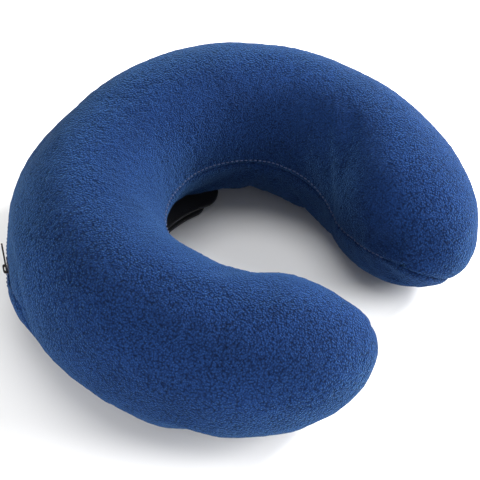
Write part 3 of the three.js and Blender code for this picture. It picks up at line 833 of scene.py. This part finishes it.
def cover_panel(panel, skin):
    """Closes a panel's two faces into one sheet of velour, above the floor and the strap."""
    azimuth, length, across = skin["azimuth"], skin["length"], skin["across"]
    floor_level = sole_height(azimuth) + 0.05
    skin["points"][..., 2] = np.maximum(skin["points"][..., 2], floor_level)
    lining = np.linspace(0, 1, LINING_COLUMNS)
    inner = resample(skin["inside"], skin["fractions"], lining, 1)
    inner[..., 2] = np.maximum(inner[..., 2], floor_level + CLOTH)
    ends = np.array([[-TIP_START], [TIP_START]])
    past_tip = outward(ends[:, 0] + np.sign(ends[:, 0]) * 90) * fullness(length[[0, -1]], np.zeros((2, 1)))
    outer_poles = surface(ends[:, 0], 1.0, 0.0, 1.2) + past_tip
    inner_poles = surface(ends[:, 0], 1.0, 0.0, CLOTH + 1.6) + past_tip
    piece = cloth_shell(f"cover_{panel}", skin["points"], inner, outer_poles, inner_poles)

    pole_uv = np.array([[length[0, 0], 0], [length[-1, 0], 0]] * 2)
    skins = [cloth_uv(length, across), cloth_uv(length, lining * across[:, -1:])]
    write_uv(piece, np.concatenate([*skins, pole_uv]) * MM)
    finish_piece(piece, "pillow", "velour", f"cover_{panel}_panel")


swelling = swollen_offsets()
top_cover, bottom_cover = cover_skin("top", swelling), cover_skin("bottom", swelling)
join_seams(top_cover, bottom_cover)
cover_panel("top", top_cover)
cover_panel("bottom", bottom_cover)


# ---- Foam core and knitted liner ----

HIDDEN_STEP = 4.0
HIDDEN_COLUMNS = 72
HIDDEN_SLACK = 1.6
LINER_GAP = 0.5


def hidden_layer(azimuth, tip, length, angles, inset):
    """A layer under the cover, which is fuller and flatter in the same places."""
    points = surface(azimuth, tip, angles, inset + HIDDEN_SLACK)
    return points + grid_normals(points) * fullness(length, angles)[..., None]


def foam_core():
    azimuth, tip, length = ring_stations(HIDDEN_STEP)
    angles = outer_seam_angle(azimuth, tip) + np.linspace(0, 360, HIDDEN_COLUMNS + 1)[:-1]
    points = hidden_layer(azimuth, tip, length, angles, CORE)
    points = points + grid_normals(points) * 0.15 * value_noise(points, 9.0)[..., None]
    poles = surface([-TIP_START, TIP_START], 1.0, 0.0, CORE)
    faces = closed_faces(*points.shape[:2])
    piece = new_mesh("moulded_foam_core", np.concatenate([points.reshape(-1, 3), poles]), faces)
    finish_piece(piece, "pillow", "foam", "foam_core")


def liner():
    azimuth, tip, length = ring_stations(HIDDEN_STEP)
    angles = outer_seam_angle(azimuth, tip) + np.linspace(LINER_GAP, 360 - LINER_GAP, HIDDEN_COLUMNS + 1)
    outer, inner = (hidden_layer(azimuth, tip, length, angles, inset) for inset in LINER)
    ends = [surface([-TIP_START, TIP_START], 1.0, 0.0, inset) for inset in LINER]
    piece = cloth_shell("knitted_liner", outer, inner, *ends)
    uv = cloth_uv(length, arc_lengths(outer))
    write_uv(piece, np.concatenate([uv, uv, np.zeros((4, 2))]) * MM)
    finish_piece(piece, "pillow", "knit", "inner_liner")


foam_core()
liner()


# ---- Stitching ----

def path_lengths(path):
    return np.concatenate([[0.0], np.cumsum(np.linalg.norm(np.diff(path, axis=0), axis=1))])


def along_path(path, normals, places):
    """Points, directions and normals at the given lengths along a path."""
    lengths = path_lengths(path)

    def at(places, values):
        return np.stack([np.interp(places, lengths, values[:, axis]) for axis in range(3)], axis=-1)

    step = 0.2
    direction = at(places + step, path) - at(places - step, path)
    return at(places, path), unit(direction), unit(at(places, normals))


def tube(points, directions, normals, radii, sides=8):
    """Points and faces of a closed tube whose ends are caps."""
    side = unit(np.cross(directions, normals))
    turn = np.linspace(0, 2 * math.pi, sides, endpoint=False)
    rings = [point + radius * (np.cos(turn)[:, None] * s + np.sin(turn)[:, None] * n)
             for point, radius, s, n in zip(points, radii, side, normals)]
    faces = grid_faces(len(points), sides, closed=True)
    last = (len(points) - 1) * sides
    return np.concatenate(rings), faces + [list(range(sides)), [last + k for k in range(sides)][::-1]]


def many(name, parts):
    """One mesh from several point and face lists."""
    points, faces, start = [], [], 0
    for part_points, part_faces in parts:
        points.append(part_points)
        faces += [[index + start for index in face] for face in part_faces]
        start += len(part_points)
    piece = new_mesh(name, np.concatenate(points), faces)
    fix_normals(piece)
    return piece


def stitch_parts(path, normals, length=2.9, gap=0.9, radius=0.3, lift=0.1):
    """Single stitches along a path: each rises out of the cloth and goes back into it."""
    total = path_lengths(path)[-1]
    count = int((total - gap) / (length + gap))
    pitch = (total - gap) / max(count, 1)
    parts = []
    for k in range(count):
        jitter = 0.12 * math.sin(k * 12.9898 + SEED)
        places = gap + k * pitch + jitter + np.linspace(0, pitch - gap, 7)
        point, direction, normal = along_path(path, normals, places)
        arch = np.sin(np.linspace(0, math.pi, 7))
        point = point + normal * (lift - radius * 0.9 + radius * 1.1 * arch)[:, None]
        radii = radius * (0.45 + 0.55 * np.sqrt(arch))
        parts.append(tube(point, direction, normal, radii, sides=7))
    return parts


def sewn(name, parts, slot, node, material=None):
    finish_piece(many(name, parts), "pillow", slot, node, material=material)


SEAM_STITCH_PLACE = 2.4
HEM_STITCH_PLACE = 2.2


def cover_line(cover, column, rows, offset=0.0):
    """The path of one column of a cover panel and its normals, over the rows that are picked."""
    normals = cover["normals"][rows, column]
    return cover["points"][rows, column] + offset * normals, normals


def seam_stitching():
    azimuth, tip = top_cover["azimuth"][:, 0], top_cover["tip"][:, 0]
    middle = len(azimuth) // 2
    from_seam = arc_lengths(top_cover["points"][middle:middle + 1, ::-1])[0]
    inner_column = -1 - int(np.argmin(np.abs(from_seam - SEAM_STITCH_PLACE)))
    path, normals = cover_line(top_cover, inner_column, tip < 0.97)
    parts = stitch_parts(path, normals, length=1.9, gap=1.1, radius=0.42, lift=0.32)
    sewn("inner_seam_stitches", parts, "thread", "inner_seam_thread")
    for side, sign in (("right", 1), ("left", -1)):
        rows = (azimuth * sign > ZIP_END + 1.2) & (tip < 0.985)
        path, _ = cover_line(top_cover, 0, rows)
        _, normals = cover_line(top_cover, 3, rows)
        parts = stitch_parts(path, normals, lift=0.25)
        sewn(f"outer_seam_stitches_{side}", parts, "thread", f"outer_seam_thread_{side}")
    rows = np.abs(azimuth) < ZIP_END
    for side, cover, sign in (("upper", top_cover, 1), ("lower", bottom_cover, -1)):
        from_hem = arc_lengths(cover["points"][rows][:, ::sign])[0]
        column = int(np.argmin(np.abs(from_hem - HEM_STITCH_PLACE)))
        path, normals = cover_line(cover, column if sign > 0 else -1 - column, rows, offset=0.25)
        parts = stitch_parts(path, normals, length=2.4, gap=0.8, radius=0.26, lift=0.12)
        sewn(f"zip_topstitch_{side}", parts, "thread", f"zip_stitch_{side}")


seam_stitching()


# ---- Zip ----

def zip_tapes():
    azimuth = np.linspace(-ZIP_END, ZIP_END, 140)[:, None]
    for side, sign in (("upper", 1), ("lower", -1)):
        angles = sign * np.linspace(*TAPE_ANGLES, 14)[None, :]
        if sign < 0:
            angles = angles[:, ::-1]
        skins = [surface(azimuth, 0.0, angles, inset) for inset in TAPE]
        along = np.radians(azimuth) * ZIP_RADIUS
        piece = slab(f"woven_tape_{side}", *skins, along, arc_lengths(skins[0]))
        finish_piece(piece, "pillow", "tape", f"zip_tape_{side}")


def coil_tooth(azimuth, sign):
    """One turn of the coil as seen from the front: a rounded bar across the row with a thicker head."""
    heights = np.array([COIL["low"], COIL["low"] + 0.35, 1.4, 2.4, COIL["high"] - 0.3, COIL["high"]])
    radii = np.array([0.34, 0.5, 0.42, 0.42, 0.42, 0.2])
    depth = np.array([-1.0, -0.9, -0.85, -0.85, -0.95, -1.35])
    lean = np.array([0.0, 0.0, 0.1, 0.25, 0.4, 0.45])
    turn = azimuth + np.degrees(lean / ZIP_RADIUS)
    points = on_ring(turn, ZIP_RADIUS + depth, AXIS[2] + sign * heights)
    out = np.broadcast_to(outward(azimuth), points.shape)
    return tube(points, unit(np.gradient(points, axis=0)), out, radii)


def zip_coils():
    pitch = math.degrees(COIL["pitch"] / ZIP_RADIUS)
    for side, sign, shift in (("upper", 1, 0.0), ("lower", -1, pitch / 2)):
        places = np.arange(-COIL_END + pitch / 2, COIL_END - pitch / 2, pitch) + shift
        parts = [coil_tooth(azimuth, sign) for azimuth in places]
        sewn(f"coil_teeth_{side}", parts, "coil", f"zip_coil_{side}")


def refined(node, name, body, width):
    """A CAD piece with its flat faces joined up and its edges rounded."""
    source = frame["nodes"][node]
    piece = source.copy()
    piece.data = source.data.copy()
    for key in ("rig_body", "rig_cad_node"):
        if key in piece:
            del piece[key]
    piece.name = piece.data.name = name
    piece.parent = None
    bpy.context.scene.collection.objects.link(piece)
    shape = bmesh.new()
    shape.from_mesh(piece.data)
    bmesh.ops.remove_doubles(shape, verts=shape.verts, dist=1e-6)
    bmesh.ops.dissolve_limit(shape, angle_limit=math.radians(2), verts=shape.verts, edges=shape.edges)
    shape.to_mesh(piece.data)
    shape.free()
    bevel = piece.modifiers.new("round", "BEVEL")
    bevel.width = width * MM
    bevel.segments = 3
    bevel.limit_method = "ANGLE"
    bevel.angle_limit = math.radians(28)
    bevel.harden_normals = True
    apply_modifiers(piece)
    piece.data.polygons.foreach_set("use_smooth", [True] * len(piece.data.polygons))
    finish_piece(piece, body, "metal", node)


def zip_hardware():
    zip_tapes()
    zip_coils()
    refined("slider_body", "slider_shell", "zip_slider", width=0.3)
    refined("slider_bail", "slider_bridge", "zip_slider", width=0.22)
    refined("pull_tab", "pull_tab_blade", "zip_pull", width=0.22)
    for node in ("zip_top_stop_upper", "zip_top_stop_lower", "zip_bottom_stop"):
        refined(node, node.replace("zip_", "crimped_"), "pillow", width=0.3)


zip_hardware()


# ---- Folded strap with its press stud ----

def middle_height(node):
    low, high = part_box(node)
    return (low.z + high.z) / 2 / MM


FREE_MIDDLE, FIXED_MIDDLE = (middle_height(f"strap_{ply}_ply") for ply in ("free", "fixed"))
STRAP_MIDDLE = (STRAP["inner"] + STRAP["outer"]) / 2
TOPSTITCH_INSET = 3.2


def strap_line():
    """Azimuth and height along the strap's middle surface, from the free end round the fold to the sewn end,
    and the length of the way there."""
    fold_radius = (FIXED_MIDDLE - FREE_MIDDLE) / 2
    middle = (FIXED_MIDDLE + FREE_MIDDLE) / 2
    ends = np.array([0, 0.4, 1, 2, 3.2, 4.8, 7, 9.5, 12])

    def ply(end):
        to_fold = math.radians(end - STRAP["fold"]) * STRAP_MIDDLE
        return end - np.degrees(np.concatenate([ends, np.arange(15, to_fold, 3.0)]) / STRAP_MIDDLE)

    lower, upper = ply(STRAP_END["free"]), ply(STRAP_END["fixed"])[::-1]
    turn = np.linspace(-math.pi / 2, math.pi / 2, 11)
    beyond = np.degrees(fold_radius * np.cos(turn) / STRAP_MIDDLE)
    azimuth = np.concatenate([lower, STRAP["fold"] - beyond, upper])
    height = np.concatenate([np.full(len(lower), FREE_MIDDLE), middle + fold_radius * np.sin(turn),
                             np.full(len(upper), FIXED_MIDDLE)])
    points = on_ring(azimuth, STRAP_MIDDLE, height)
    return azimuth, height, path_lengths(points)


def rounded_span(to_end):
    """How far in from the strap's straight edges its outline runs near a round-cornered end."""
    corner = STRAP["corner"]
    run = np.clip(corner - to_end, 0, corner)
    return corner - np.sqrt(corner**2 - run**2)


def strap_grid(inset=0.0, columns=30):
    azimuth, height, length = strap_line()
    to_end = np.minimum(length, length[-1] - length)
    cut = rounded_span(np.maximum(to_end - inset, 0)) + inset
    edge = np.array([0, 0.12, 0.4, 0.9, 1.6]) / (STRAP["outer"] - STRAP["inner"])
    fractions = np.concatenate([edge, np.linspace(0.06, 0.94, columns), 1 - edge[::-1]])
    low, high = STRAP["inner"] + cut, STRAP["outer"] - cut
    radius = low[:, None] + (high - low)[:, None] * fractions
    points = on_ring(azimuth[:, None], radius, height[:, None])
    return points, length, radius, to_end


def strap():
    points, length, radius, to_end = strap_grid()
    normals = grid_normals(points)
    to_side = np.minimum(radius - radius[:, :1], radius[:, -1:] - radius)
    to_edge = np.minimum(to_side, np.broadcast_to(to_end[:, None], to_side.shape))
    roll = STRAP["thickness"] / 2
    profile = np.sqrt(np.maximum(1 - np.clip(1 - to_edge / roll, 0, 1) ** 2, 0.0))
    groove = 0.16 * np.exp(-(((to_edge - TOPSTITCH_INSET) / 0.55) ** 2))
    wave = 0.12 * value_noise(points, 24.0)
    half = roll * (0.12 + 0.88 * profile)
    front = points + normals * (half - groove + wave)[..., None]
    back = points - normals * (half - groove - wave)[..., None]
    piece = slab("folded_strap", front, back, length[:, None], radius)
    finish_piece(piece, None, "strap", "strap_fixed_ply", "strap_free_ply")
    blend_over_fold(piece)

    outline = strap_grid(inset=TOPSTITCH_INSET)[0]
    outline_normals = grid_normals(outline)
    surface_lift = roll - 0.05
    parts = []
    for column in (0, -1):
        path = outline[:, column]
        line_normals = outline_normals[:, column]
        for side in (1, -1):
            face = path + side * line_normals * surface_lift
            parts += stitch_parts(face, side * line_normals, length=2.6, gap=0.8, radius=0.22, lift=0.12)
    stitching = many("strap_topstitching", parts)
    finish_piece(stitching, None, "strap", material="strap_thread")
    blend_over_fold(stitching)


def blend_over_fold(piece):
    """Bakes the piece's transform into its mesh."""
    fold = on_ring(STRAP["fold"], STRAP_MIDDLE, 0.0)
    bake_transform(piece)


def turned(profile, place, segments=56):
    """A solid of revolution about an upright axis, from radius and height pairs. The profile is either closed
    or starts and ends near the axis."""
    turn = np.linspace(0, 2 * math.pi, segments, endpoint=False)
    rings = [np.stack([place[0] + radius * np.cos(turn), place[1] + radius * np.sin(turn),
                       np.full(segments, height)], axis=1) for radius, height in profile]
    faces = grid_faces(len(profile), segments, closed=True)
    if profile[-1] == profile[0]:
        count = (len(rings) - 1) * segments
        return np.concatenate(rings[:-1]), [[index % count for index in face] for face in faces]
    last = (len(profile) - 1) * segments
    return np.concatenate(rings), faces + [list(range(segments)), [last + k for k in range(segments)]]


def rounded(profile, radius=0.18, steps=3):
    """Takes the corners off a profile of radius and height pairs, except at its ends."""
    points = [np.array(point, float) for point in profile]
    result = [tuple(points[0])]
    for before, corner, after in zip(points, points[1:], points[2:]):
        reach = min(radius, np.linalg.norm(corner - before) / 2.1, np.linalg.norm(after - corner) / 2.1)
        start, end = corner + unit(before - corner) * reach, corner + unit(after - corner) * reach
        for t in np.linspace(0, 1, steps + 1):
            result.append(tuple((1 - t) ** 2 * start + 2 * t * (1 - t) * corner + t**2 * end))
    return result + [tuple(points[-1])]


SNAP_PROFILES = {
    "snap_cap": ("press_stud_cap", "strap_end",
                 [(0.05, 0), (4.4, 0), (5.7, 0.25), (6, 0.6), (5.9, 0.8), (1.6, 0.8), (1.6, 2.8),
                  (0.05, 2.8)]),
    "snap_socket": ("press_stud_socket", "strap_end",
                    [(2.5, 2.9), (5.5, 2.9), (5.5, 4.1), (4.6, 4.7), (3, 4.7), (2.5, 4.2), (2.5, 2.9)]),
    "snap_stud": ("press_stud_post", "pillow",
                  [(0.05, 3.1), (1.7, 3.1), (2.1, 3.5), (1.85, 4.3), (2.1, 5), (5, 5), (5, 5.6),
                   (0.05, 5.6)]),
    "snap_rivet": ("press_stud_rivet", "pillow",
                   [(0.05, 5.9), (1.6, 5.9), (1.6, 7.7), (4.5, 7.7), (4.5, 8.1), (3.6, 8.4), (0.05, 8.4)]),
}


def press_stud():
    low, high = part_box("snap_rivet")
    place = np.array((low + high) / 2) / MM
    for node, (name, body, profile) in SNAP_PROFILES.items():
        piece = many(name, [turned(rounded(profile), place)])
        finish_piece(piece, body, "metal", node)


ANCHOR = {"side": 24.0, "azimuth": -14.0, "radius": 86.0}


def anchor_stitching():
    """A square with its two diagonals, sewn through the strap's upper ply."""
    centre = on_ring(ANCHOR["azimuth"], ANCHOR["radius"], middle_height("anchor_stitch"))
    turn = -math.radians(ANCHOR["azimuth"])
    half = ANCHOR["side"] / 2
    corners = [(-half, -half), (half, -half), (half, half), (-half, half)]
    sides = list(zip(corners, corners[1:] + corners[:1]))
    parts = []
    for line in sides + [corners[::2], corners[1::2]]:
        ends = [centre + np.array([x * math.cos(turn) - y * math.sin(turn),
                                   x * math.sin(turn) + y * math.cos(turn), 0]) for x, y in line]
        path = np.linspace(*ends, 30)
        down = np.tile([0.0, 0.0, -1.0], (len(path), 1))
        parts += stitch_parts(path, down, length=2.3, gap=0.7, radius=0.3, lift=0.1)
    sewn("boxed_cross_stitches", parts, "thread", "anchor_stitch", material="strap_thread")


strap()
press_stud()
anchor_stitching()


# ---- Blank care label ----

LABEL = {"azimuth": 60.0, "width": 20.0, "ply": 0.35, "fold": 0.55, "clear": 0.6}


def care_label():
    """A folded satin ribbon, meant to be sewn into the outer seam by both its ends; here it hangs a little
    clear of the cover, with a slight curl.
    """
    bottom, top = (corner.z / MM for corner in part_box("care_label"))
    out = outward(LABEL["azimuth"])
    along = np.array([out[1], -out[0], 0.0])
    radius = LABEL["fold"]
    near = ZIP_RADIUS + LABEL["clear"] + radius
    drop = np.linspace(0, 1, 26)
    turn = np.linspace(0, math.pi, 9)[1:-1]
    depth = top - bottom - radius
    away = np.concatenate([np.zeros(26), radius * (1 - np.cos(turn)), np.full(26, 2 * radius)])
    front = top - drop * depth
    height = np.concatenate([front, top - depth - radius * np.sin(turn), front[::-1]])
    hang = (top - height) / depth
    columns = np.linspace(-0.5, 0.5, 17)
    curl = 0.5 * hang[:, None] ** 2 * (0.4 + np.cos(columns * 5.0)[None, :])
    radial = near + away[:, None] + curl
    points = (np.array([AXIS[0], AXIS[1], 0]) + radial[..., None] * out
              + (columns * LABEL["width"])[None, :, None] * along)
    points[..., 2] = height[:, None]
    normals = grid_normals(points)
    depth_of_ply = normals * LABEL["ply"] / 2
    length = path_lengths(points[:, 8])
    piece = slab("satin_label", points + depth_of_ply, points - depth_of_ply, length[:, None],
                 columns * LABEL["width"])
    finish_piece(piece, "pillow", "label", "care_label")


care_label()
